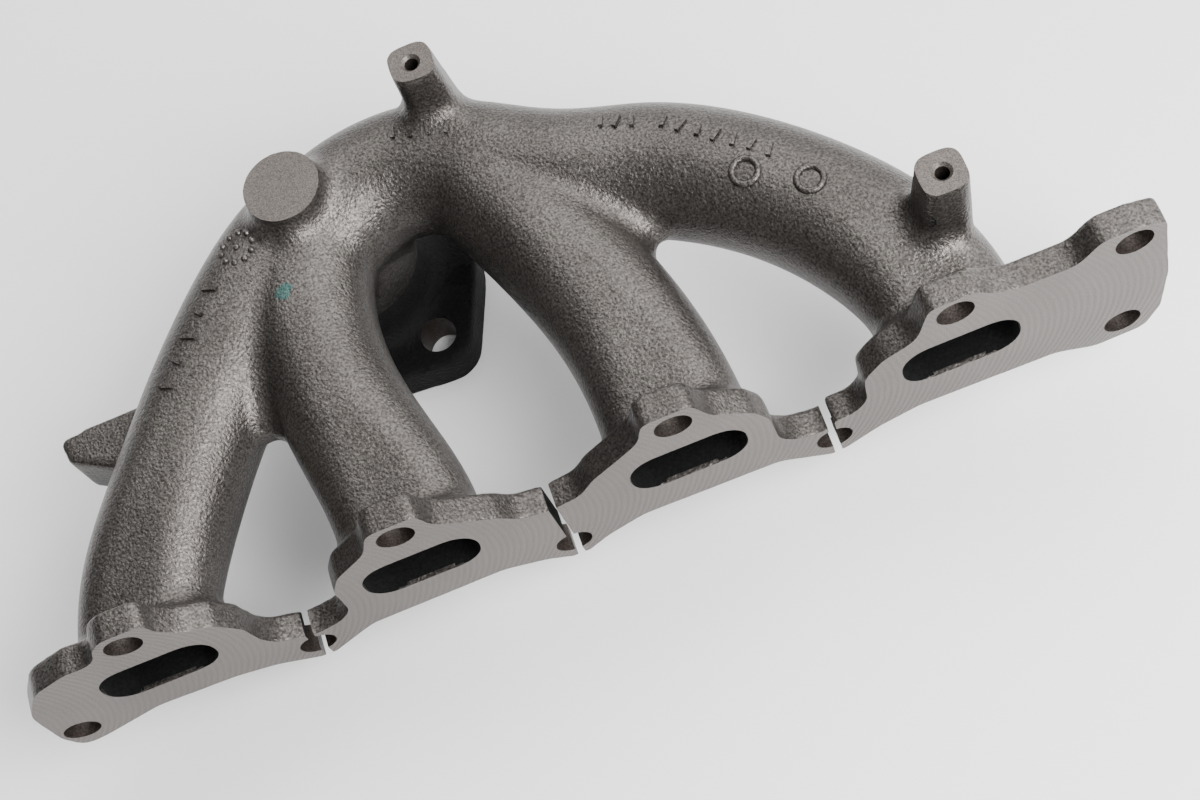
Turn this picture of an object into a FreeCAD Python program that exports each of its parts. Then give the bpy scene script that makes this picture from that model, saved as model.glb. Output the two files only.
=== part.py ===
import FreeCAD, Part
import Sketcher
import math
import os

# Exhaust manifold for a four-cylinder engine, one iron casting.
# X runs along the cylinder head, Y runs away from the head, Z is up.
# The origin is on the machined head face, midway between ports 2 and 3, at the height of the port centres.

SIZES = {
    "port_pitch": 96.0,
    "port_width": 41.0,
    "port_height": 22.0,
    "port_corner": 9.5,
    "flange_thickness": 10.5,
    "slot_width": 2.7,
    "stud_hole_radius": 6.5,
    "stud_height": 28.5,
    "wall": 4.5,
    "tube_flat": 3.0,
    "root_width": 50.0,
    "root_height": 31.0,
    "runner_size": 46.0,
    "runner_2_size": 45.0,
    "log_size": 47.0,
    "bend_radius": 24.6,
    "neck_radius": 27.5,
    "outlet_bore_radius": 21.0,
    "outlet_bore_top": 4.0,
    "neck_bottom": -48.0,
    "outlet_face": -63.0,
    "outlet_bolt_circle": 39.0,
    "outlet_hole_radius": 7.0,
    "outlet_ear_radius": 13.0,
    "outlet_disc_radius": 44.0,
    "pad_radius": 14.25,
    "pad_top": 31.0,
    "post_top": 45.0,
    "post_radius": 8.0,
    "post_root_radius": 10.5,
    "post_roundness": 0.6,
    "post_hole_radius": 2.5,
    "post_hole_depth": 16.0,
    "lug_height": 24.0,
    "lug_top": -5.0,
}

doc = FreeCAD.newDocument("ExhaustManifold")
sheet = doc.addObject("Spreadsheet::Sheet", "Sizes")
for row, (alias, value) in enumerate(SIZES.items(), start=1):
    sheet.set(f"A{row}", alias)
    sheet.set(f"B{row}", str(value))
    sheet.setAlias(f"B{row}", alias)
doc.recompute()

Z_AXIS = FreeCAD.Vector(0, 0, 1)
PITCH = SIZES["port_pitch"]
PORT_X = [PITCH * (number - 1.5) for number in range(4)]
FLANGE_BACK = SIZES["flange_thickness"]
FAR = 200.0


def vec(x, y, z=0.0):
    return FreeCAD.Vector(x, y, z)


def origin_plane(body, role):
    return next(feature for feature in body.Origin.OriginFeatures if feature.Role == role)


def new_body(label):
    body = doc.addObject("PartDesign::Body", label)
    body.Label = label
    return body


def sketch_on(body, name, role, offset=FreeCAD.Placement()):
    sketch = body.newObject("Sketcher::SketchObject", name)
    sketch.AttachmentSupport = [(origin_plane(body, role), "")]
    sketch.MapMode = "FlatFace"
    sketch.AttachmentOffset = offset
    return sketch


def rounded_rectangle(sketch, width, height, corner):
    """Centred rounded rectangle; width, height and corner are expressions on the sheet."""
    half_x, half_y, radius = 20.0, 15.0, 8.0
    inner_x, inner_y = half_x - radius, half_y - radius
    turns = [(1, 1, 0), (-1, 1, 90), (-1, -1, 180), (1, -1, 270)]
    for sx, sy, start in turns:
        circle = Part.Circle(vec(sx * inner_x, sy * inner_y), Z_AXIS, radius)
        sketch.addGeometry(Part.ArcOfCircle(circle, math.radians(start), math.radians(start + 90)))
    sides = [
        (vec(inner_x, half_y), vec(-inner_x, half_y), "Horizontal"),
        (vec(-half_x, inner_y), vec(-half_x, -inner_y), "Vertical"),
        (vec(-inner_x, -half_y), vec(inner_x, -half_y), "Horizontal"),
        (vec(half_x, -inner_y), vec(half_x, inner_y), "Vertical"),
    ]
    for arc, (begin, end, direction) in enumerate(sides):
        line = sketch.addGeometry(Part.LineSegment(begin, end))
        next_arc = (arc + 1) % 4
        sketch.addConstraint(Sketcher.Constraint("Tangent", arc, 2, line, 1))
        sketch.addConstraint(Sketcher.Constraint("Tangent", line, 2, next_arc, 1))
        sketch.addConstraint(Sketcher.Constraint(direction, line))
    for arc in (1, 2, 3):
        sketch.addConstraint(Sketcher.Constraint("Equal", 0, arc))
    sketch.addConstraint(Sketcher.Constraint("Symmetric", 0, 3, 2, 3, -1, 1))
    span_x = sketch.addConstraint(Sketcher.Constraint("DistanceX", 1, 3, 0, 3, 2 * inner_x))
    span_y = sketch.addConstraint(Sketcher.Constraint("DistanceY", 3, 3, 0, 3, 2 * inner_y))
    round_off = sketch.addConstraint(Sketcher.Constraint("Radius", 0, radius))
    sketch.setExpression(f"Constraints[{round_off}]", corner)
    sketch.setExpression(f"Constraints[{span_x}]", f"({width}) - 2 * ({corner})")
    sketch.setExpression(f"Constraints[{span_y}]", f"({height}) - 2 * ({corner})")


def rounded_outline(sketch, corners):
    """Closed outline of straight edges and tangent arcs; corners are (x, z, radius of the rounding)."""
    points = [vec(x, z) for x, z, _ in corners]
    count = len(points)
    starts, ends, arcs = [], [], []
    for index, (corner, radius) in enumerate(zip(points, (c[2] for c in corners))):
        to_last = (points[index - 1] - corner).normalize()
        to_next = (points[(index + 1) % count] - corner).normalize()
        half_angle = to_last.getAngle(to_next) / 2
        setback = radius / math.tan(half_angle)
        arrive = corner + to_last * setback
        leave = corner + to_next * setback
        starts.append(leave)
        ends.append(arrive)
        if radius > 0:
            centre = corner + (to_last + to_next).normalize() * (radius / math.sin(half_angle))
            middle = centre + (corner - centre).normalize() * radius
            arcs.append(Part.Arc(arrive, middle, leave))
    for arc in arcs:
        sketch.addGeometry(arc)
    for index in range(count):
        sketch.addGeometry(Part.LineSegment(starts[index - 1], ends[index]))


def circles(sketch, centres, radius):
    """Circles at fixed centres whose shared radius is an expression on the sheet."""
    for x, y in centres:
        circle = sketch.addGeometry(Part.Circle(vec(x, y), Z_AXIS, 5.0))
        drive = sketch.addConstraint(Sketcher.Constraint("Radius", circle, 5.0))
        sketch.setExpression(f"Constraints[{drive}]", radius)


def pad(body, sketch, length, reversed_side=False):
    feature = body.newObject("PartDesign::Pad", sketch.Name + "_pad")
    feature.Profile = sketch
    feature.Reversed = reversed_side
    feature.setExpression("Length", length)
    return feature


def pocket(body, sketch, depth, reversed_side=False):
    doc.recompute()
    before = body.Shape.Volume
    feature = body.newObject("PartDesign::Pocket", sketch.Name + "_pocket")
    feature.Profile = sketch
    feature.Reversed = reversed_side
    feature.setExpression("Length", depth)
    doc.recompute()
    if body.Shape.Volume >= before:
        raise RuntimeError(f"{feature.Name} cuts nothing")
    return feature


# ---- head flange: four plates with saw slots between them ----

SLOT_HALF = SIZES["slot_width"] / 2
NECK = PITCH / 2 - SLOT_HALF

INNER_PLATE = [
    (-NECK, 4, 0), (-38, 5, 4), (-31.5, 13, 5), (-18, 22.5, 6), (-12.5, 27, 4), (-9.5, 37.5, 3),
    (8, 37.5, 4), (12.5, 25.5, 6), (25.5, 15.5, 7), (30, 6, 6), (30.3, -12, 6), (36, -17.5, 5),
    (NECK, -20, 0), (NECK, -41, 0), (36, -34.5, 6), (28, -29.5, 8), (-22, -28.4, 10),
    (-36.5, -34, 8), (-NECK, -41, 0),
]
LEFT_END_PLATE = [
    (NECK, -18, 0), (37.5, -14, 5), (34.5, -6, 6), (33.5, 6, 8), (27, 18, 6), (18, 21.5, 8),
    (11.5, 31, 4), (11, 37.8, 4), (-4.5, 38, 5), (-9.5, 33, 3), (-12, 24, 3), (-24, 24.5, 8),
    (-37, 19, 10), (-46, 3, 14), (-47.5, -23, 6), (-44, -36, 5), (-34, -34, 5), (-12, -27, 10),
    (17, -28.5, 10), (31, -32, 8), (NECK, -41, 0),
]
RIGHT_END_PLATE = [
    (-NECK, -15, 0), (-38, -14.5, 4), (-34, -8, 6), (-33.5, 7, 8), (-26, 15.5, 8), (-14, 20.5, 6),
    (-8.5, 37.3, 4), (8, 37.3, 4), (12, 32.5, 4), (20, 28.5, 8), (41, 27.6, 5), (49, 36.7, 6),
    (61, 36.7, 8), (70.8, 34, 2), (72, -2, 6), (69.8, -25, 6), (64, -36.5, 5), (46, -37.3, 5),
    (32, -30.3, 8), (-17, -29, 10), (-32, -33, 8), (-NECK, -40.5, 0),
]
PLATE_OUTLINES = [
    LEFT_END_PLATE,
    [(-x, z, r) for x, z, r in INNER_PLATE],
    INNER_PLATE,
    RIGHT_END_PLATE,
]
# Stud holes of each plate beside the one above its port; the shared ones are crossed by a saw slot.
OTHER_HOLES = {
    1: [(-183, -22), (-PITCH, -28)],
    2: [(-PITCH, -28), (0, -28)],
    3: [(0, -28), (PITCH, -28)],
    4: [(PITCH, -28), (200, -26), (204, 28)],
}


def head_plate(number, port_x, outline):
    body = new_body(f"head_flange_{number}")
    face = sketch_on(body, f"plate_{number}", "XZ_Plane")
    rounded_outline(face, [(port_x + x, z, r) for x, z, r in outline])
    pad(body, face, "Sizes.flange_thickness", reversed_side=True)
    port_place = FreeCAD.Placement(vec(port_x, 0), FreeCAD.Rotation())
    port = sketch_on(body, f"port_{number}", "XZ_Plane", port_place)
    rounded_rectangle(port, "Sizes.port_width", "Sizes.port_height", "Sizes.port_corner")
    pocket(body, port, "Sizes.flange_thickness")
    studs = sketch_on(body, f"studs_{number}", "XZ_Plane")
    circles(studs, [(port_x, SIZES["stud_height"])] + OTHER_HOLES[number], "Sizes.stud_hole_radius")
    pocket(body, studs, "Sizes.flange_thickness")
    return body


plates = [head_plate(i + 1, PORT_X[i], PLATE_OUTLINES[i]) for i in range(4)]

# ---- gas runners: lofts from the flange back to the bend, and the matching passages inside ----

# Centre lines in plan, (x, y), from the flange back towards the bend.
ROUTES = {
    "1": [
        (-144, FLANGE_BACK), (-139.5, 30), (-123.5, 59), (-105, 86.5), (-85.5, 111.5), (-68, 129.5),
        (-41, 141.5),
    ],
    "2": [(-48, FLANGE_BACK), (-50, 32), (-56, 58), (-60, 86), (-58, 113), (-49, 138)],
    "3": [(48, FLANGE_BACK), (47, 32), (42, 60), (33, 88), (22, 115), (12, 138)],
    "4": [
        (144, FLANGE_BACK), (141, 34), (124.5, 64), (100, 90.5), (66, 112), (28, 129.5),
        (-4, 146.5), (-26, 147), (-45, 139),
    ],
}
# How far each station has changed from the flat port section to the round tube.
ROUNDING = [0.0, 0.35, 0.8, 1.0]


def headings(route):
    angles = []
    for index in range(len(route)):
        x0, y0 = route[max(index - 1, 0)]
        x1, y1 = route[min(index + 1, len(route) - 1)]
        angles.append(math.degrees(math.atan2(-(x1 - x0), y1 - y0)))
    angles[0] = 0.0
    return angles


def tube(name, route, final_size, shrink):
    """Solid loft along a plan route; shrink is what every section is smaller by, on the sheet."""
    body = new_body(name)
    sections = []
    for index, ((x, y), angle) in enumerate(zip(route, headings(route))):
        place = FreeCAD.Placement(vec(x, 0, -y), FreeCAD.Rotation(vec(0, 1, 0), angle))
        section = sketch_on(body, f"{name}_{index}", "XZ_Plane", place)
        change = ROUNDING[min(index, len(ROUNDING) - 1)]
        width = f"Sizes.root_width + {change} * ({final_size} - Sizes.root_width) - {shrink}"
        height = f"Sizes.root_height + {change} * ({final_size} - Sizes.root_height) - {shrink}"
        rounded_rectangle(section, width, height, f"({height}) / 2 - Sizes.tube_flat / 2")
        sections.append(section)
    loft = body.newObject("PartDesign::AdditiveLoft", name + "_loft")
    loft.Profile = sections[0]
    loft.Sections = sections[1:]
    loft.Ruled = False
    return body


def round_bar(name, radius, bottom, top, centre):
    """Upright cylinder; radius, bottom and top are expressions on the sheet."""
    bar = doc.addObject("Part::Cylinder", name)
    bar.setExpression("Radius", radius)
    bar.setExpression("Height", f"({top}) - ({bottom})")
    bar.setExpression("Placement.Base.x", str(centre[0]))
    bar.setExpression("Placement.Base.y", str(centre[1]))
    bar.setExpression("Placement.Base.z", bottom)
    return bar


def ball(name, radius, centre):
    part = doc.addObject("Part::Sphere", name)
    part.setExpression("Radius", radius)
    part.Placement.Base = vec(*centre)
    return part


def fuse(name, shapes):
    joined = doc.addObject("Part::MultiFuse", name)
    joined.Shapes = shapes
    return joined


def cut(name, base, tool):
    result = doc.addObject("Part::Cut", name)
    result.Base = base
    result.Tool = tool
    result.Label = name
    return result


def common(name, base, tool):
    result = doc.addObject("Part::Common", name)
    result.Base = base
    result.Tool = tool
    result.Label = name
    return result


OUTLET = (-46, 141)
BEND_HEIGHT = -1.0
BEND_CENTRE = (*OUTLET, BEND_HEIGHT)
# No two tubes that overlap are the same size, so that none of their walls coincide.
FINAL_SIZE = {
    "1": "Sizes.runner_size",
    "2": "Sizes.runner_2_size",
    "3": "Sizes.runner_size",
    "4": "Sizes.log_size",
}

outer_tubes = [tube(f"outer_{key}", route, FINAL_SIZE[key], "0") for key, route in ROUTES.items()]
bend = ball("bend_ball", "Sizes.bend_radius", BEND_CENTRE)
neck = doc.addObject("Part::Cone", "neck_cone")
neck.setExpression("Radius1", "Sizes.neck_radius")
neck.setExpression("Radius2", "Sizes.bend_radius")
neck.setExpression("Height", f"{BEND_HEIGHT} - Sizes.neck_bottom")
neck.Placement.Base = vec(*OUTLET, SIZES["neck_bottom"])
outside = fuse("outside", outer_tubes + [bend, neck])

passages = [
    tube(f"passage_{key}", route, FINAL_SIZE[key], "2 * Sizes.wall") for key, route in ROUTES.items()
]
outlet_bore = round_bar(
    "outlet_bore", "Sizes.outlet_bore_radius", "Sizes.outlet_face", "Sizes.outlet_bore_top", OUTLET
)

shell = outside
for number, space in enumerate([outlet_bore] + passages, start=1):
    shell = cut(f"shell_{number}", shell, space)

# ---- the casting in sections: each is what the shell holds between upright cutting planes ----

FORK = (-85, 64)
FORK_TOP = (-75, 108)
BEND_LEFT = (-112, 139)
ARCH_LEFT = (-30, 112)
ARCH_TOP = (-14, 121)
CROTCH = (70, 72)
LOG_END = (108, 138)

REGIONS = {
    "runner_1": [(-FAR, 0), (-92, 0), FORK, FORK_TOP, BEND_LEFT, (-FAR, FAR)],
    "runner_2": [(-92, 0), (-2, 0), ARCH_TOP, ARCH_LEFT, FORK_TOP, FORK],
    "runner_3": [(-2, 0), (90, 0), CROTCH, ARCH_TOP],
    "runner_4": [(90, 0), (FAR, 0), (FAR, FAR), (108, FAR), LOG_END, CROTCH],
    "collector": [ARCH_TOP, CROTCH, LOG_END, (108, FAR), (ARCH_TOP[0], FAR)],
}
BEND_REGION = [FORK_TOP, ARCH_LEFT, ARCH_TOP, (ARCH_TOP[0], FAR), (-FAR, FAR), BEND_LEFT]
BEND_FLOOR = -30.0


def prism(name, points, bottom, top):
    body = new_body(name)
    place = FreeCAD.Placement(vec(0, 0, bottom), FreeCAD.Rotation())
    outline = sketch_on(body, name + "_plan", "XY_Plane", place)
    rounded_outline(outline, [(x, y, 0) for x, y in points])
    pad(body, outline, str(top - bottom))
    return body


nodes = list(plates)
for label, points in REGIONS.items():
    nodes.append(common(label, shell, prism(label + "_region", points, -FAR, FAR)))
nodes.append(common("collector_bend", shell, prism("bend_region", BEND_REGION, BEND_FLOOR, FAR)))
nodes.append(common("outlet_neck", shell, prism("neck_region", BEND_REGION, -FAR, BEND_FLOOR)))

# ---- outlet flange: three ears round the bore, facing down ----

EAR_ANGLES = [-58, 62, 182]


def outlet_plate():
    body = new_body("outlet_flange")
    place = FreeCAD.Placement(vec(*OUTLET, SIZES["outlet_face"]), FreeCAD.Rotation())
    circle = SIZES["outlet_bolt_circle"]
    ears = [(circle * math.cos(math.radians(a)), circle * math.sin(math.radians(a))) for a in EAR_ANGLES]
    outline = sketch_on(body, "ears", "XY_Plane", place)
    ear, disc = SIZES["outlet_ear_radius"], SIZES["outlet_disc_radius"]
    side_turn = math.acos((disc - ear) / circle)
    tip = disc / math.cos(side_turn)
    middle = disc / math.cos(math.radians(60) - side_turn)
    corners = []
    for angle in EAR_ANGLES:
        for reach, turn, radius in ((tip, angle, ear), (middle, angle + 60, disc)):
            heading = math.radians(turn)
            corners.append((reach * math.cos(heading), reach * math.sin(heading), radius))
    rounded_outline(outline, corners)
    pad(body, outline, "Sizes.neck_bottom - Sizes.outlet_face")
    bore = sketch_on(body, "bore", "XY_Plane", place)
    circles(bore, [(0, 0)], "Sizes.outlet_bore_radius")
    pocket(body, bore, "Sizes.neck_bottom - Sizes.outlet_face", reversed_side=True)
    bolts = sketch_on(body, "bolts", "XY_Plane", place)
    circles(bolts, ears, "Sizes.outlet_hole_radius")
    pocket(body, bolts, "Sizes.neck_bottom - Sizes.outlet_face", reversed_side=True)
    return body


nodes.append(outlet_plate())

# ---- cast-on features that stand on the tubes ----


def stand_on_casting(label, solid):
    """The part of a solid that is outside the tubes, so that it meets them face to face."""
    return cut(label, solid, outside)


PAD_CENTRE = (-50.5, 142)
pad_bar = round_bar("pad_bar", "Sizes.pad_radius", "0", "Sizes.pad_top", PAD_CENTRE)
nodes.append(stand_on_casting("machined_pad", pad_bar))


def shield_post(label, centre, root_centre):
    """Tapered post with a tapped hole down from its top."""
    top = SIZES["post_top"]
    body = new_body(label + "_solid")
    lower_place = FreeCAD.Placement(vec(*root_centre), FreeCAD.Rotation())
    lower = sketch_on(body, label + "_root", "XY_Plane", lower_place)
    across, corner = "2 * Sizes.post_root_radius", "Sizes.post_root_radius * Sizes.post_roundness"
    rounded_rectangle(lower, across, across, corner)
    upper_place = FreeCAD.Placement(vec(*centre, top), FreeCAD.Rotation())
    upper = sketch_on(body, label + "_top", "XY_Plane", upper_place)
    across, corner = "2 * Sizes.post_radius", "Sizes.post_radius * Sizes.post_roundness"
    rounded_rectangle(upper, across, across, corner)
    loft = body.newObject("PartDesign::AdditiveLoft", label + "_loft")
    loft.Profile = lower
    loft.Sections = [upper]
    mouth = sketch_on(body, label + "_hole", "XY_Plane", upper_place)
    circles(mouth, [(0, 0)], "Sizes.post_hole_radius")
    pocket(body, mouth, "Sizes.post_hole_depth")
    return stand_on_casting(label, body)


nodes.append(shield_post("shield_post_left", (8.5, 159), (9.5, 157)))
nodes.append(shield_post("shield_post_right", (157, 40), (153, 41)))


def lug():
    body = new_body("lug_solid")
    place = FreeCAD.Placement(vec(0, 0, SIZES["lug_top"]), FreeCAD.Rotation())
    outline = sketch_on(body, "lug_plan", "XY_Plane", place)
    corners = [(-162, 102, 2), (-161.5, 92, 4), (-146, 83, 3), (-118, 83, 0), (-112, 104, 0)]
    rounded_outline(outline, corners)
    pad(body, outline, "Sizes.lug_height", reversed_side=True)
    return stand_on_casting("support_lug", body)


nodes.append(lug())

# ---- check every object, then write one file per sub-part ----

doc.recompute()
for item in doc.Objects:
    if "Invalid" in item.State or "Error" in item.State:
        raise RuntimeError(f"{item.Name} failed: {item.State}")
os.makedirs("parts", exist_ok=True)
for node in nodes:
    shape = node.Shape
    if shape.isNull() or not shape.isValid() or not shape.Solids:
        raise RuntimeError(f"{node.Label} has no valid shape")
    print(node.Label, len(shape.Solids), round(shape.Volume / 1000, 1), "cm3")
    shape.exportStep(f"parts/{node.Label}.step")
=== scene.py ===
import math
import bpy
from mathutils import Matrix, Vector
from mathutils.bvhtree import BVHTree


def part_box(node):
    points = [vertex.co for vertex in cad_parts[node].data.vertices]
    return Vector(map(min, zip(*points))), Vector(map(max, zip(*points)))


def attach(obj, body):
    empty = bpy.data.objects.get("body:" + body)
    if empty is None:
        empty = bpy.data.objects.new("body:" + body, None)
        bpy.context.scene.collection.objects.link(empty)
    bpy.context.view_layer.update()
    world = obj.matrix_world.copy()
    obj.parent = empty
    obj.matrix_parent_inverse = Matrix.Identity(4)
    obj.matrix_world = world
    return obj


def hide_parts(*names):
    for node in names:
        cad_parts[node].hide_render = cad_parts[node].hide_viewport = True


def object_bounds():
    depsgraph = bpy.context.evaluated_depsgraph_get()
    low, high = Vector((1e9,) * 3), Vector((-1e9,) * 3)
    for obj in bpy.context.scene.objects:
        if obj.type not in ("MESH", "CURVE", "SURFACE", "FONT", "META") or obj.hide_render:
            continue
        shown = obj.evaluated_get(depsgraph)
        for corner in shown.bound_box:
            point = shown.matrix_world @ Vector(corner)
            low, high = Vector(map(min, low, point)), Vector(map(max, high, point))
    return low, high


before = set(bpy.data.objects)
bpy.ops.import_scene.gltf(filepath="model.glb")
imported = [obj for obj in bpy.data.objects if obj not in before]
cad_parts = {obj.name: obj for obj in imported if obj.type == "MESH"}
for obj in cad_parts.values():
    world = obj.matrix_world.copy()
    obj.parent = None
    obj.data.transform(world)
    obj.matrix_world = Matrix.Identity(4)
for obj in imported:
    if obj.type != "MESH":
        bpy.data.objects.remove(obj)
cad_low, cad_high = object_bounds()

# ---- Viewpoint ----
# The manifold is looked at from above the cylinder-head side, a little rolled, with a moderately long lens.
# The view's three directions are unit vectors at right angles.
VIEW_PLACE = Vector((0.0719, -0.2818, 0.6249))
view_data = bpy.data.cameras.new("view")
view_data.lens = 62.2
view_data.sensor_width = 36.0
view_data.clip_start = 0.02
view_data.clip_end = 20.0
view_right = Vector((0.92581, -0.30672, -0.22093))
view_up = Vector((0.37253, 0.83941, 0.39575))
view_back = Vector((0.06406, -0.44869, 0.89139))
view_camera = bpy.data.objects.new("view", view_data)
bpy.context.scene.collection.objects.link(view_camera)
view_turn = Matrix((view_right, view_up, view_back)).transposed().to_4x4()
view_camera.matrix_world = Matrix.Translation(VIEW_PLACE) @ view_turn
bpy.context.scene.camera = view_camera


# ---- Bench top and studio light ----
# A plain white bench lies just under the outlet flange. A key light hangs in front on the tab side, and two
# wide fills hang to the right and behind. The studio walls glow a little.
BENCH_SIZE = 8.0
BENCH_GAP = 0.0005
BENCH_TONE = 0.97
LAMP_AIM = Vector((0, 0.07, 0))


def select_only(piece):
    bpy.ops.object.select_all(action="DESELECT")
    piece.select_set(True)
    bpy.context.view_layer.objects.active = piece


bpy.ops.object.select_all(action="DESELECT")
bpy.ops.mesh.primitive_plane_add(size=BENCH_SIZE, location=(0, 0, cad_low.z - BENCH_GAP))
bench = bpy.context.object
bench.name = "bench_top"
bench_white = bpy.data.materials.new("bench_white")
bench_white.use_nodes = True
bench_shader = bench_white.node_tree.nodes["Principled BSDF"]
bench_shader.inputs["Base Color"].default_value = (BENCH_TONE, BENCH_TONE, BENCH_TONE, 1)
bench_shader.inputs["Roughness"].default_value = 0.9
bench.data.materials.append(bench_white)


def soft_light(name, place, size, power):
    """Square area light aimed at the middle of the manifold."""
    lamp_data = bpy.data.lights.new(name, "AREA")
    lamp_data.size = size
    lamp_data.energy = power
    lamp = bpy.data.objects.new(name, lamp_data)
    bpy.context.scene.collection.objects.link(lamp)
    lamp.location = place
    aim = LAMP_AIM - Vector(place)
    lamp.rotation_euler = aim.to_track_quat("-Z", "Y").to_euler()


soft_light("key_front", (0.38, -0.34, 0.52), 0.50, 11)
soft_light("fill_right", (1.0, 0.3, 0.9), 1.4, 14)
soft_light("fill_back", (0.1, 1.0, 1.1), 1.4, 14)
studio = bpy.data.worlds.new("studio")
studio.use_nodes = True
# The studio wall on the tab side is bright and the one on the far side is dim.
studio_glow = studio.node_tree.nodes["Background"]
studio_glow.inputs["Color"].default_value = (1.0, 1.0, 1.0, 1)
studio_part = studio.node_tree.nodes.new("ShaderNodeSeparateXYZ")
studio_way = studio.node_tree.nodes.new("ShaderNodeTexCoord")
studio.node_tree.links.new(studio_way.outputs["Generated"], studio_part.inputs["Vector"])
studio_range = studio.node_tree.nodes.new("ShaderNodeMapRange")
for end, level in (("From Min", -0.8), ("From Max", 0.9), ("To Min", 0.1), ("To Max", 1.6)):
    studio_range.inputs[end].default_value = level
studio.node_tree.links.new(studio_part.outputs["X"], studio_range.inputs["Value"])
studio.node_tree.links.new(studio_range.outputs["Result"], studio_glow.inputs["Strength"])
bpy.context.scene.world = studio

# ---- The rough casting ----
# The whole manifold is poured in one go: plates, runners, log, bend, neck, posts, pad and lug. The pattern is
# rounded with putty where they meet, and every face that will be machined is cast proud.
GRAIN_STEP = 0.0011
WELD = 0.00001
LEVEL_SLACK = 0.0001
POURING_SHRINK = 0.00005
WEB_MIDDLE = Vector((-0.002, 0.128))
WEB_REACH = 0.030
WEB_STROKES = 100
FILLET = 0.0055
STOCK = 0.002


def apply(piece, kind, **settings):
    select_only(piece)
    modifier = piece.modifiers.new(kind.lower(), kind)
    for key, value in settings.items():
        setattr(modifier, key, value)
    bpy.ops.object.modifier_apply(modifier=modifier.name)


def pattern_part(node):
    """A welded copy of a CAD node, to be cast with the rest."""
    part = bpy.data.objects.new("pattern_" + node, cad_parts[node].data.copy())
    bpy.context.scene.collection.objects.link(part)
    select_only(part)
    bpy.ops.object.mode_set(mode="EDIT")
    bpy.ops.mesh.select_all(action="SELECT")
    bpy.ops.mesh.remove_doubles(threshold=WELD)
    bpy.ops.object.mode_set(mode="OBJECT")
    return part


def leave_stock(part, axis, level, amount):
    """Moves the flat face at that level along its axis, so that there is metal to cut away."""
    for vertex in part.data.vertices:
        if abs(vertex.co[axis] - level) < LEVEL_SLACK:
            vertex.co[axis] += amount


def bar(name, centre, radius, length, axis, sides=64):
    """Round bar along an axis, used as a core, a drill or an end mill."""
    turn = {"X": (0, math.pi / 2, 0), "Y": (math.pi / 2, 0, 0), "Z": (0, 0, 0)}[axis]
    bpy.ops.object.select_all(action="DESELECT")
    bpy.ops.mesh.primitive_cylinder_add(
        vertices=sides, radius=radius, depth=length, location=centre, rotation=turn
    )
    rod = bpy.context.object
    rod.name = name
    bpy.ops.object.transform_apply(location=True, rotation=True, scale=True)
    return rod


def block(name, low, high, edge=0.0):
    """Box between two corners, with its fore-and-aft edges rounded if edge is given."""
    low, high = Vector(low), Vector(high)
    bpy.ops.object.select_all(action="DESELECT")
    bpy.ops.mesh.primitive_cube_add(size=1.0, location=(low + high) / 2)
    solid = bpy.context.object
    solid.name = name
    solid.scale = high - low
    bpy.ops.object.transform_apply(location=True, rotation=True, scale=True)
    if edge:
        bpy.ops.object.mode_set(mode="EDIT")
        bpy.ops.mesh.select_mode(type="EDGE")
        bpy.ops.mesh.select_all(action="DESELECT")
        bpy.ops.object.mode_set(mode="OBJECT")
        for side in solid.data.edges:
            start, end = (solid.data.vertices[corner].co for corner in side.vertices)
            side.select = abs((end - start).normalized().y) > 0.99
        bpy.ops.object.mode_set(mode="EDIT")
        bpy.ops.mesh.bevel(offset=edge, segments=12, affect="EDGES")
        bpy.ops.object.mode_set(mode="OBJECT")
    return solid


def joined(name, parts):
    """One object out of several, with every part's faces kept."""
    bpy.ops.object.select_all(action="DESELECT")
    for part in parts:
        part.select_set(True)
    bpy.context.view_layer.objects.active = parts[0]
    bpy.ops.object.join()
    whole = bpy.context.object
    whole.name = name
    return whole


PORT_X = (-0.144, -0.048, 0.048, 0.144)
FLANGE_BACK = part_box("head_flange_1")[1].y
PAD_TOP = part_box("machined_pad")[1].z
POST_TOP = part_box("shield_post_left")[1].z
OUTLET_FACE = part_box("outlet_flange")[0].z
OUTLET_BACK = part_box("outlet_flange")[1].z
OUTLET = Vector((-0.046, 0.141))
STUD_RADIUS = 0.0065
EAR_HOLE_RADIUS = 0.007
EAR_CIRCLE = 0.039
EAR_ANGLES = (-58, 62, 182)
EARS = [
    OUTLET + EAR_CIRCLE * Vector((math.cos(math.radians(turn)), math.sin(math.radians(turn))))
    for turn in EAR_ANGLES
]
STUD_HOLES = [(x, 0.0285) for x in PORT_X] + [(-0.096, -0.028), (0.0, -0.028), (0.096, -0.028)]
STUD_HOLES += [(-0.183, -0.022), (0.2, -0.026), (0.204, 0.028)]
POSTS = {"shield_post_left": (0.0085, 0.159), "shield_post_right": (0.157, 0.040)}

pattern = {node: pattern_part(node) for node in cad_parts}
for number in range(1, 5):
    leave_stock(pattern[f"head_flange_{number}"], 1, 0.0, -STOCK)
leave_stock(pattern["machined_pad"], 2, PAD_TOP, STOCK)
leave_stock(pattern["outlet_flange"], 2, OUTLET_FACE, -STOCK)
for node in POSTS:
    leave_stock(pattern[node], 2, POST_TOP, STOCK)

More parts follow.
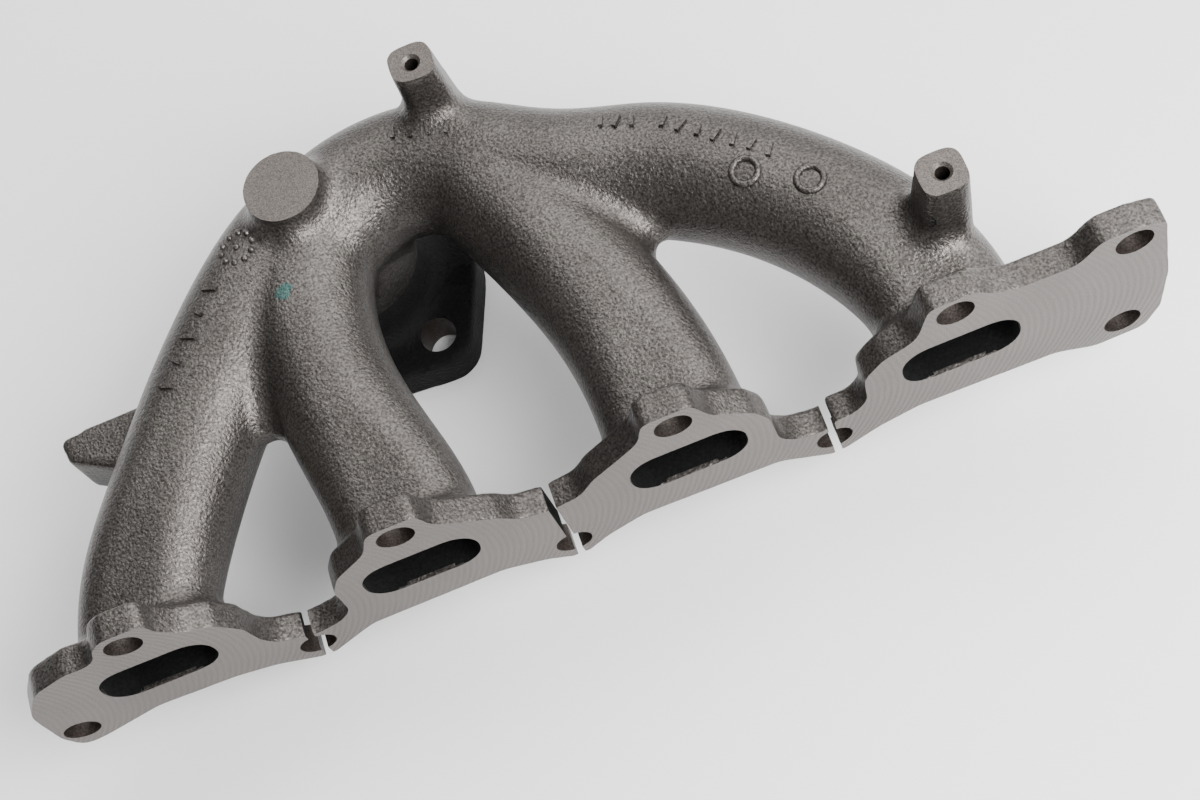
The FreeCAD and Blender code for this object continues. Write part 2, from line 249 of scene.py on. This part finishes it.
# The drilled holes aren't cast, so each is plugged by a bar a little wider than the drill.
PLUG_GROWTH = 0.0006
THREAD_PLUG_RADIUS = 0.003
THREAD_PLUG_LENGTH = 0.018
cores = []
for x, z in STUD_HOLES:
    middle = (x, FLANGE_BACK / 2 - STOCK / 2, z)
    cores.append(bar("stud_core", middle, STUD_RADIUS + PLUG_GROWTH, FLANGE_BACK + STOCK, "Y"))
for x, y in POSTS.values():
    middle = (x, y, POST_TOP - 0.008)
    cores.append(bar("thread_core", middle, THREAD_PLUG_RADIUS, THREAD_PLUG_LENGTH, "Z"))
for x, y in EARS:
    middle = (x, y, (OUTLET_FACE + OUTLET_BACK) / 2 - STOCK / 2)
    plug_length = OUTLET_BACK - OUTLET_FACE + STOCK
    cores.append(bar("ear_core", middle, EAR_HOLE_RADIUS + PLUG_GROWTH, plug_length, "Z"))

casting = joined("casting", list(pattern.values()) + cores)
casting.data.materials.clear()
apply(casting, "REMESH", mode="VOXEL", voxel_size=GRAIN_STEP)
apply(casting, "DISPLACE", strength=FILLET, mid_level=0.0)
apply(casting, "REMESH", mode="VOXEL", voxel_size=GRAIN_STEP)
apply(casting, "DISPLACE", strength=-FILLET - POURING_SHRINK, mid_level=0.0)
apply(casting, "REMESH", mode="VOXEL", voxel_size=GRAIN_STEP)
# The pattern is rubbed down most in the hollow over the arch, where the bend meets the log and runner 3.
web = casting.vertex_groups.new(name="web")
for vertex in casting.data.vertices:
    away = (vertex.co.xy - WEB_MIDDLE).length / WEB_REACH
    if vertex.co.z > 0 and away < 1:
        web.add([vertex.index], 1 - away**2, "REPLACE")
apply(casting, "SMOOTH", factor=0.9, iterations=WEB_STROKES, vertex_group="web")
casting.vertex_groups.clear()
apply(casting, "SMOOTH", factor=0.5, iterations=6)

# ---- Raised foundry marks ----
# Plain bars, rings and dots stand a little proud of the runners where a foundry puts its cast-in marks.
# They are part of the pattern, so they are poured with the iron, and they form no letters or numbers.
MARK_HEIGHT = 0.0012
BAR_WIDTH = 0.0015
BAR_ROOT = 0.002
BAR_TILT = 0.15
RING_RADIUS = 0.0046
RING_PLACES = ((0.101, 0.081), (0.120, 0.069))
DOT_RADIUS = 0.0013
DOT_RING = 0.0062
DOT_RING_MIDDLE = Vector((-0.0737, 0.131))
DOTS_ROUND = 10
ABOVE = 0.1
FINISHES = 4
CAST, MILLED, BORED, SOOT_AND_SHADE = range(FINISHES)


def boolean(piece, tool, operation, finish=CAST):
    """Cuts, adds or keeps a tool's shape and uses the tool up. New faces get the finish with that number."""
    tool.data.materials.clear()
    for number in range(FINISHES):
        tool.data.materials.append(None)
    for face in tool.data.polygons:
        face.material_index = finish
    apply(piece, "BOOLEAN", object=tool, operation=operation, solver="MANIFOLD")
    bpy.data.objects.remove(tool)


skin = BVHTree.FromObject(casting, bpy.context.evaluated_depsgraph_get())


def seat(mark, x, y, heading=0.0):
    """Lays a mark on the casting's skin above a plan position, turned about the skin's normal."""
    place, normal, _, _ = skin.ray_cast(Vector((x, y, ABOVE)), Vector((0, 0, -1)))
    along = Vector((math.cos(heading), math.sin(heading), 0))
    along = (along - along.dot(normal) * normal).normalized()
    turn = Matrix((along, normal.cross(along), normal)).transposed().to_4x4()
    mark.data.transform(Matrix.Translation(place) @ turn)
    return mark


# Rows of bars: the first and last bar's place in plan, and each bar's length in turn.
BAR_ROWS = [
    ((-0.1105, 0.0885), (-0.0870, 0.1190), (0.006, 0.0045, 0.006, 0.003, 0.006)),
    ((-0.0080, 0.1500), (0.0110, 0.1430), (0.0045, 0.005, 0.005, 0.0045)),
    ((0.0620, 0.1215), (0.0720, 0.1165), (0.005, 0.0055, 0.005)),
    ((0.0820, 0.1115), (0.1115, 0.0850), (0.005, 0.0055, 0.0045, 0.0055, 0.005, 0.0045, 0.0055)),
]
marks = []
for first, last, lengths in BAR_ROWS:
    first, run = Vector(first), Vector(last) - Vector(first)
    across = math.atan2(run.y, run.x) + math.pi / 2
    for number, length in enumerate(lengths):
        x, y = first + run * (number / (len(lengths) - 1))
        corner = Vector((length / 2, BAR_WIDTH / 2, 0))
        low, high = -corner - Vector((0, 0, BAR_ROOT)), corner + Vector((0, 0, MARK_HEIGHT))
        mark = block("bar_mark", low, high)
        marks.append(seat(mark, x, y, across + BAR_TILT * (-1) ** number))
for x, y in RING_PLACES:
    bpy.ops.object.select_all(action="DESELECT")
    bpy.ops.mesh.primitive_torus_add(
        major_segments=40, minor_segments=10, major_radius=RING_RADIUS, minor_radius=MARK_HEIGHT
    )
    marks.append(seat(bpy.context.object, x, y))
dot_places = []
for number in range(DOTS_ROUND):
    turn = number * 2 * math.pi / DOTS_ROUND
    dot_places.append(DOT_RING_MIDDLE + DOT_RING * Vector((math.cos(turn), math.sin(turn))))
dot_places.append(DOT_RING_MIDDLE)
for x, y in dot_places:
    bpy.ops.object.select_all(action="DESELECT")
    bpy.ops.mesh.primitive_uv_sphere_add(segments=14, ring_count=8, radius=DOT_RADIUS)
    marks.append(seat(bpy.context.object, x, y))
for number in range(FINISHES):
    casting.data.materials.append(None)
boolean(casting, joined("marks", marks), "UNION")

# ---- Machining ----
# The head face, pad, post tops and outlet face are milled off flat. Then the stud holes, post holes, outlet
# and ports are cut, and three saw cuts part the head plate so that it can grow with heat.
SAW_CUTS = (-0.096, 0.0, 0.096)
SAW_HALF = 0.00135
PAD_PLACE = (-0.0505, 0.142)
PAD_MILL_RADIUS = 0.020
POST_MILL_RADIUS = 0.015
MILL_LENGTH = 0.02
STUD_DRILL_LENGTH = 0.030
THREAD_RADIUS = 0.0025
THREAD_DRILL_LENGTH = 0.020
EAR_DRILL_LENGTH = 0.04
SINK_TIP_RADIUS = 0.0022
SINK_RIM_RADIUS = 0.0046
SINK_DEPTH = 0.0024
OUTLET_RADIUS = 0.021
OUTLET_DRILL_LENGTH = 0.03
PORT_HALF = Vector((0.0205, 0, 0.011))
PORT_CORNER = 0.0095

mills = [
    block("head_mill", (-0.3, -0.05, -0.2), (0.3, 0.0, 0.2)),
    bar("pad_mill", (*PAD_PLACE, PAD_TOP + MILL_LENGTH / 2), PAD_MILL_RADIUS, MILL_LENGTH, "Z"),
    block("outlet_mill", (-0.2, 0.01, OUTLET_FACE - 0.05), (0.1, 0.3, OUTLET_FACE)),
]
for x, y in POSTS.values():
    mills.append(bar("post_mill", (x, y, POST_TOP + MILL_LENGTH / 2), POST_MILL_RADIUS, MILL_LENGTH, "Z"))
boolean(casting, joined("mills", mills), "DIFFERENCE", MILLED)
drills = []
for x, z in STUD_HOLES:
    drills.append(bar("stud_drill", (x, FLANGE_BACK / 2, z), STUD_RADIUS, STUD_DRILL_LENGTH, "Y"))
for x, y in POSTS.values():
    middle = (x, y, POST_TOP - 0.006)
    drills.append(bar("thread_drill", middle, THREAD_RADIUS, THREAD_DRILL_LENGTH, "Z", sides=32))
for x, y in EARS:
    middle = (x, y, (OUTLET_FACE + OUTLET_BACK) / 2)
    drills.append(bar("ear_drill", middle, EAR_HOLE_RADIUS, EAR_DRILL_LENGTH, "Z"))
boolean(casting, joined("drills", drills), "DIFFERENCE", BORED)
sinks = []
for x, y in POSTS.values():
    bpy.ops.object.select_all(action="DESELECT")
    bpy.ops.mesh.primitive_cone_add(
        vertices=32,
        radius1=SINK_TIP_RADIUS,
        radius2=SINK_RIM_RADIUS,
        depth=SINK_DEPTH,
        location=(x, y, POST_TOP - 0.0002),
    )
    bpy.ops.object.transform_apply(location=True, rotation=True, scale=True)
    sinks.append(bpy.context.object)
boolean(casting, joined("sinks", sinks), "DIFFERENCE", MILLED)
outlet_middle = (*OUTLET, OUTLET_FACE + 0.008)
gas_ways = [bar("outlet_drill", outlet_middle, OUTLET_RADIUS, OUTLET_DRILL_LENGTH, "Z", sides=128)]
for x in PORT_X:
    low, high = Vector((x, -0.01, 0)) - PORT_HALF, Vector((x, 0.015, 0)) + PORT_HALF
    gas_ways.append(block("port_mill", low, high, edge=PORT_CORNER))
boolean(casting, joined("gas_ways", gas_ways), "DIFFERENCE", SOOT_AND_SHADE)
saws = [block("saw", (x - SAW_HALF, -0.01, -0.06), (x + SAW_HALF, 0.02, 0.04)) for x in SAW_CUTS]
boolean(casting, joined("saws", saws), "DIFFERENCE", CAST)

# ---- Soot and painted shade in the gas ways ----
# The inside of the casting is black: soot, which the gas leaves, and painted shade in the enclosed hollows where
# little light gets in. A spot of iron counts as inside when nearly every way out of it is blocked by more iron,
# or when it faces into a port.
CLEARANCE = 0.0003
LEAN = 1.1
WAYS_OUT = 6
WAYS_BLOCKED = 5
FAR_SIDE = 0.3
PORT_DEPTH = 0.050
iron_all_round = BVHTree.FromObject(casting, bpy.context.evaluated_depsgraph_get())
for face in casting.data.polygons:
    start = face.center + face.normal * CLEARANCE
    if face.material_index != CAST or iron_all_round.ray_cast(start, face.normal, FAR_SIDE)[0] is None:
        continue
    side = face.normal.orthogonal().normalized()
    blocked = 0
    for number in range(WAYS_OUT):
        lean = Matrix.Rotation(number * 2 * math.pi / WAYS_OUT, 3, face.normal) @ side
        way = (face.normal + LEAN * lean).normalized()
        blocked += iron_all_round.ray_cast(start, way)[0] is not None
    port = Vector((min(PORT_X, key=lambda x: abs(x - face.center.x)), face.center.y, 0))
    in_port = face.center.y < PORT_DEPTH and face.normal.dot(port - face.center) > 0
    if blocked >= WAYS_BLOCKED or in_port:
        face.material_index = SOOT_AND_SHADE

# ---- The casting by areas ----
# The one casting is told apart into the parts that a mechanic would name, because it is one piece of iron and
# has no joints. Each part is what lies in its own upright slice, and the slices meet at runner roots and forks.
FAR = 0.3
SLICE_TOP = 0.1
BEND_FLOOR = -0.030
FLANGE_ROOT = 0.002
ROOTS = ((-0.092, 0.0), (-0.002, 0.0), (0.090, 0.0))
FORK = (-0.085, 0.064)
FORK_TOP = (-0.075, 0.108)
BEND_LEFT = (-0.112, 0.139)
ARCH_LEFT = (-0.030, 0.112)
ARCH_TOP = (-0.014, 0.121)
CROTCH = (0.070, 0.072)
LOG_END = (0.108, 0.138)
POST_SLICE = 0.02
POST_FOOT = 0.0245
LUG_PLAN = [(-0.180, 0.065), (-0.1465, 0.065), (-0.118, 0.112), (-0.180, 0.112)]
BEND_PLAN = [FORK_TOP, ARCH_LEFT, ARCH_TOP, (ARCH_TOP[0], FAR), (-FAR, FAR), BEND_LEFT]


def slice_of(name, plan, low, high):
    """Upright prism over a plan outline."""
    bpy.ops.object.select_all(action="DESELECT")
    bpy.ops.mesh.primitive_circle_add(vertices=len(plan), radius=1.0, fill_type="NGON")
    prism = bpy.context.object
    prism.name = name
    for vertex, (x, y) in zip(prism.data.vertices, plan):
        vertex.co = (x, y, low)
    bpy.ops.object.mode_set(mode="EDIT")
    bpy.ops.mesh.select_all(action="SELECT")
    bpy.ops.mesh.extrude_region_move(TRANSFORM_OT_translate={"value": (0, 0, high - low)})
    bpy.ops.mesh.select_all(action="SELECT")
    bpy.ops.mesh.normals_make_consistent(inside=False)
    bpy.ops.object.mode_set(mode="OBJECT")
    return prism


def carve(node, make_tool, *shape):
    """Takes one area out of what is left of the casting."""
    area = bpy.data.objects.new(node + "_cast", casting.data.copy())
    bpy.context.scene.collection.objects.link(area)
    boolean(area, make_tool(node + "_area", *shape), "INTERSECT")
    boolean(casting, make_tool(node + "_area", *shape), "DIFFERENCE")
    select_only(area)
    bpy.ops.mesh.separate(type="LOOSE")
    crumbs = sorted(bpy.context.selected_objects, key=lambda piece: len(piece.data.vertices))
    area = crumbs.pop()
    for crumb in crumbs:
        bpy.data.objects.remove(crumb)
    area.name = node + "_cast"
    select_only(area)
    bpy.ops.object.shade_smooth_by_angle(angle=math.radians(40))
    return area


areas = {}
plate_ends = (-FAR, *SAW_CUTS, FAR)
for number, (left, right) in enumerate(zip(plate_ends, plate_ends[1:]), start=1):
    low, high = (left, -0.01, -SLICE_TOP), (right, FLANGE_BACK, SLICE_TOP)
    areas[f"head_flange_{number}"] = carve(f"head_flange_{number}", block, low, high)
low, high = (-FAR, 0.02, -SLICE_TOP), (FAR, FAR, OUTLET_BACK + FLANGE_ROOT)
areas["outlet_flange"] = carve("outlet_flange", block, low, high)
areas["machined_pad"] = carve("machined_pad", bar, (*PAD_PLACE, 0.0485), 0.022, 0.045, "Z")
for node, (x, y) in POSTS.items():
    low, high = (x - POST_SLICE, y - POST_SLICE, POST_FOOT), (x + POST_SLICE, y + POST_SLICE, SLICE_TOP)
    areas[node] = carve(node, block, low, high)
areas["support_lug"] = carve("support_lug", slice_of, LUG_PLAN, -0.035, -0.002)
plan = [(-FAR, 0.0), ROOTS[0], FORK, FORK_TOP, BEND_LEFT, (-FAR, FAR)]
areas["runner_1"] = carve("runner_1", slice_of, plan, -SLICE_TOP, SLICE_TOP)
plan = [ROOTS[0], ROOTS[1], ARCH_TOP, ARCH_LEFT, FORK_TOP, FORK]
areas["runner_2"] = carve("runner_2", slice_of, plan, -SLICE_TOP, SLICE_TOP)
plan = [ROOTS[1], ROOTS[2], CROTCH, ARCH_TOP]
areas["runner_3"] = carve("runner_3", slice_of, plan, -SLICE_TOP, SLICE_TOP)
plan = [ARCH_TOP, CROTCH, LOG_END, (LOG_END[0], FAR), (ARCH_TOP[0], FAR)]
areas["collector"] = carve("collector", slice_of, plan, -SLICE_TOP, SLICE_TOP)
areas["outlet_neck"] = carve("outlet_neck", slice_of, BEND_PLAN, -SLICE_TOP, BEND_FLOOR)
areas["collector_bend"] = carve("collector_bend", slice_of, BEND_PLAN, BEND_FLOOR, SLICE_TOP)
plan = [ROOTS[2], (FAR, 0.0), (FAR, FAR), (LOG_END[0], FAR), LOG_END, CROTCH]
areas["runner_4"] = carve("runner_4", slice_of, plan, -SLICE_TOP, SLICE_TOP)
bpy.data.objects.remove(casting)

# ---- Iron surfaces ----
# Shot-blasted grey iron: warm grey with a sand grain, with painted shade darkening its undersides and low parts.
# Milled faces are lighter and carry the arcs of the cutter, bored holes are browner, the gas passages are black
# with soot and painted shade, and the outlet flange and neck are painted near-black as shade.


def iron(name, dark, light, roughness, metallic, grain, depth):
    """Iron with a mottled colour between two tones and a fine grain, whose depth is in metres."""
    material = bpy.data.materials.new(name)
    material.use_nodes = True
    tree = material.node_tree
    shader = tree.nodes["Principled BSDF"]
    shader.inputs["Roughness"].default_value = roughness
    shader.inputs["Metallic"].default_value = metallic
    place = tree.nodes.new("ShaderNodeTexCoord").outputs["Object"]
    tone = noise(tree, place, 22.0, 5.0)
    colour = ramp(tree, tone, (0.36, dark), (0.64, light))
    speck = ramp(tree, noise(tree, place, grain, 2.0), (0.34, (0.50, 0.49, 0.48)), (0.66, (1.42, 1.42, 1.42)))
    colour = mixed(tree, colour, speck, "MULTIPLY", 1.0)
    tree.links.new(colour, shader.inputs["Base Color"])
    rough_bump = bump(tree, noise(tree, place, grain * 0.45, 3.0), depth * 0.7, None)
    fine_bump = bump(tree, noise(tree, place, grain * 0.85, 2.0), depth, rough_bump)
    tree.links.new(fine_bump, shader.inputs["Normal"])
    return material


def noise(tree, place, scale, detail):
    texture = tree.nodes.new("ShaderNodeTexNoise")
    texture.inputs["Scale"].default_value = scale
    texture.inputs["Detail"].default_value = detail
    tree.links.new(place, texture.inputs["Vector"])
    return texture.outputs["Fac"]


def ramp(tree, value, first, last):
    """Colour ramp between two stops, each a position and a colour."""
    stops = tree.nodes.new("ShaderNodeValToRGB")
    for element, (position, colour) in zip(stops.color_ramp.elements, (first, last)):
        element.position = position
        element.color = (*colour, 1)
    tree.links.new(value, stops.inputs["Fac"])
    return stops.outputs["Color"]


def mixed(tree, under, over, blend, amount):
    mix = tree.nodes.new("ShaderNodeMix")
    mix.data_type = "RGBA"
    mix.blend_type = blend
    if isinstance(amount, float):
        mix.inputs["Factor"].default_value = amount
    else:
        tree.links.new(amount, mix.inputs["Factor"])
    for colour, entry in ((under, mix.inputs["A"]), (over, mix.inputs["B"])):
        if isinstance(colour, tuple):
            entry.default_value = (*colour, 1)
        else:
            tree.links.new(colour, entry)
    return mix.outputs["Result"]


def bump(tree, height, distance, under):
    node = tree.nodes.new("ShaderNodeBump")
    node.inputs["Distance"].default_value = distance
    tree.links.new(height, node.inputs["Height"])
    if under is not None:
        tree.links.new(under, node.inputs["Normal"])
    return node.outputs["Normal"]


def figured(tree, operation, first, second=None, third=None):
    """One step of arithmetic on values or numbers."""
    step = tree.nodes.new("ShaderNodeMath")
    step.operation = operation
    for value, entry in zip((first, second, third), step.inputs):
        if isinstance(value, float):
            entry.default_value = value
        elif value is not None:
            tree.links.new(value, entry)
    return step.outputs["Value"]


cast = iron("cast_iron", (0.075, 0.068, 0.0635), (0.105, 0.096, 0.090), 0.38, 0.80, 1150.0, 0.00036)
faced = iron("faced_iron", (0.086, 0.074, 0.067), (0.098, 0.085, 0.077), 0.40, 0.4, 2500.0, 0.00001)
milled = iron("fly_cut_iron", (0.090, 0.078, 0.072), (0.106, 0.093, 0.086), 0.45, 0.3, 2500.0, 0.00002)
bored = iron("bored_iron", (0.035, 0.027, 0.024), (0.055, 0.045, 0.040), 0.40, 0.6, 1500.0, 0.0001)
# The sooty iron is soot in the gas ways together with painted shade in the enclosed hollows.
soot_and_shade = iron("soot_and_painted_shade_iron", (0.0022, 0.0024, 0.0024), (0.0045, 0.0047, 0.0047), 0.9, 0.0, 900.0, 0.0003)
# The shaded iron is a near-black painted shade, laid over the outlet flange and neck.
painted_shade = iron("shaded_iron", (0.0020, 0.0020, 0.0020), (0.0040, 0.0039, 0.0038), 0.7, 0.0, 1150.0, 0.0004)
for dull in (soot_and_shade, painted_shade):
    dull.node_tree.nodes["Principled BSDF"].inputs["Specular IOR Level"].default_value = 0.15

# The fly cutter leaves arcs that bulge towards the tab end of the head face.
CUTTER_RADIUS = 0.055
FEED = 0.0023
ARC_DEPTH = 0.00004
tree = milled.node_tree
shader = tree.nodes["Principled BSDF"]
part = tree.nodes.new("ShaderNodeSeparateXYZ")
tree.links.new(tree.nodes.new("ShaderNodeTexCoord").outputs["Object"], part.inputs["Vector"])
drop = figured(tree, "MULTIPLY", part.outputs["Z"], part.outputs["Z"])
reach = figured(tree, "SQRT", figured(tree, "SUBTRACT", CUTTER_RADIUS**2, drop))
centre = figured(tree, "SUBTRACT", part.outputs["X"], reach)
arc = figured(tree, "SINE", figured(tree, "MULTIPLY", centre, 2 * math.pi / FEED))
under = shader.inputs["Normal"].links[0].from_socket
tree.links.new(bump(tree, arc, ARC_DEPTH, under), shader.inputs["Normal"])
crest = figured(tree, "MULTIPLY_ADD", arc, 0.5, 0.5)
lines = ramp(tree, crest, (0.0, (0.90, 0.90, 0.90)), (1.0, (1.04, 1.04, 1.04)))
face_colour = shader.inputs["Base Color"].links[0].from_socket
tree.links.new(mixed(tree, face_colour, lines, "MULTIPLY", 1.0), shader.inputs["Base Color"])

# Painted shade: faces that point down are darkened, and side faces low down round the outlet most of all.
UNDERSIDE_SHADE = (0.005, 0.0045, 0.0042)
UNDERSIDE_SHADE_MOST = 0.85
tree = cast.node_tree
shader = tree.nodes["Principled BSDF"]
facing = tree.nodes.new("ShaderNodeSeparateXYZ")
tree.links.new(tree.nodes.new("ShaderNodeNewGeometry").outputs["Normal"], facing.inputs["Vector"])
level = tree.nodes.new("ShaderNodeSeparateXYZ")
tree.links.new(tree.nodes.new("ShaderNodeTexCoord").outputs["Object"], level.inputs["Vector"])
underneath = figured(tree, "MULTIPLY", figured(tree, "SUBTRACT", 0.35, facing.outputs["Z"]), 0.55)
low_down = figured(tree, "MULTIPLY", figured(tree, "SUBTRACT", -0.004, level.outputs["Z"]), 22.0)
not_facing_up = figured(tree, "LESS_THAN", facing.outputs["Z"], 0.5)
low_down = figured(tree, "MULTIPLY", figured(tree, "MAXIMUM", low_down, 0.0), not_facing_up)
underside_shade = figured(tree, "ADD", figured(tree, "MAXIMUM", underneath, 0.0), low_down)
underside_shade = figured(tree, "MINIMUM", underside_shade, UNDERSIDE_SHADE_MOST)
clean = shader.inputs["Base Color"].links[0].from_socket
tree.links.new(mixed(tree, clean, UNDERSIDE_SHADE, "MIX", underside_shade), shader.inputs["Base Color"])

# Two dabs of an inspector's green paint are left on the skin, worn half away.
PAINT = (0.02, 0.13, 0.12)
PAINT_LEFT = 0.55
DABS = ((-0.0618, 0.1066, 0.021, 0.0042), (-0.0107, 0.0080, -0.012, 0.006))
place = tree.nodes.new("ShaderNodeTexCoord").outputs["Object"]
for x, y, z, size in DABS:
    away = tree.nodes.new("ShaderNodeVectorMath")
    away.operation = "DISTANCE"
    away.inputs[1].default_value = (x, y, z)
    tree.links.new(place, away.inputs[0])
    ragged = figured(tree, "MULTIPLY", noise(tree, place, 420.0, 3.0), size)
    spread = figured(tree, "ADD", away.outputs["Value"], ragged)
    dab = figured(tree, "LESS_THAN", spread, size * 1.3)
    skin_colour = shader.inputs["Base Color"].links[0].from_socket
    worn = figured(tree, "MULTIPLY", dab, PAINT_LEFT)
    tree.links.new(mixed(tree, skin_colour, PAINT, "MIX", worn), shader.inputs["Base Color"])

# Each area takes its skin, its milled face, its bores and its soot with painted shade. The outlet flange and
# neck take a near-black painted shade as their skin.
for node, area in areas.items():
    skin_iron = painted_shade if node in ("outlet_flange", "outlet_neck") else cast
    face_iron = milled if node.startswith("head_flange") else faced
    for number, finish in enumerate((skin_iron, face_iron, bored, soot_and_shade)):
        area.data.materials[number] = finish

# ---- Hand-over ----
# Nothing on the casting moves, so every area rides the one rigid body. Each stands for the CAD node of its name,
# and its slot says which iron finish it has.
for node, area in areas.items():
    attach(area, "root")
    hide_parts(node)
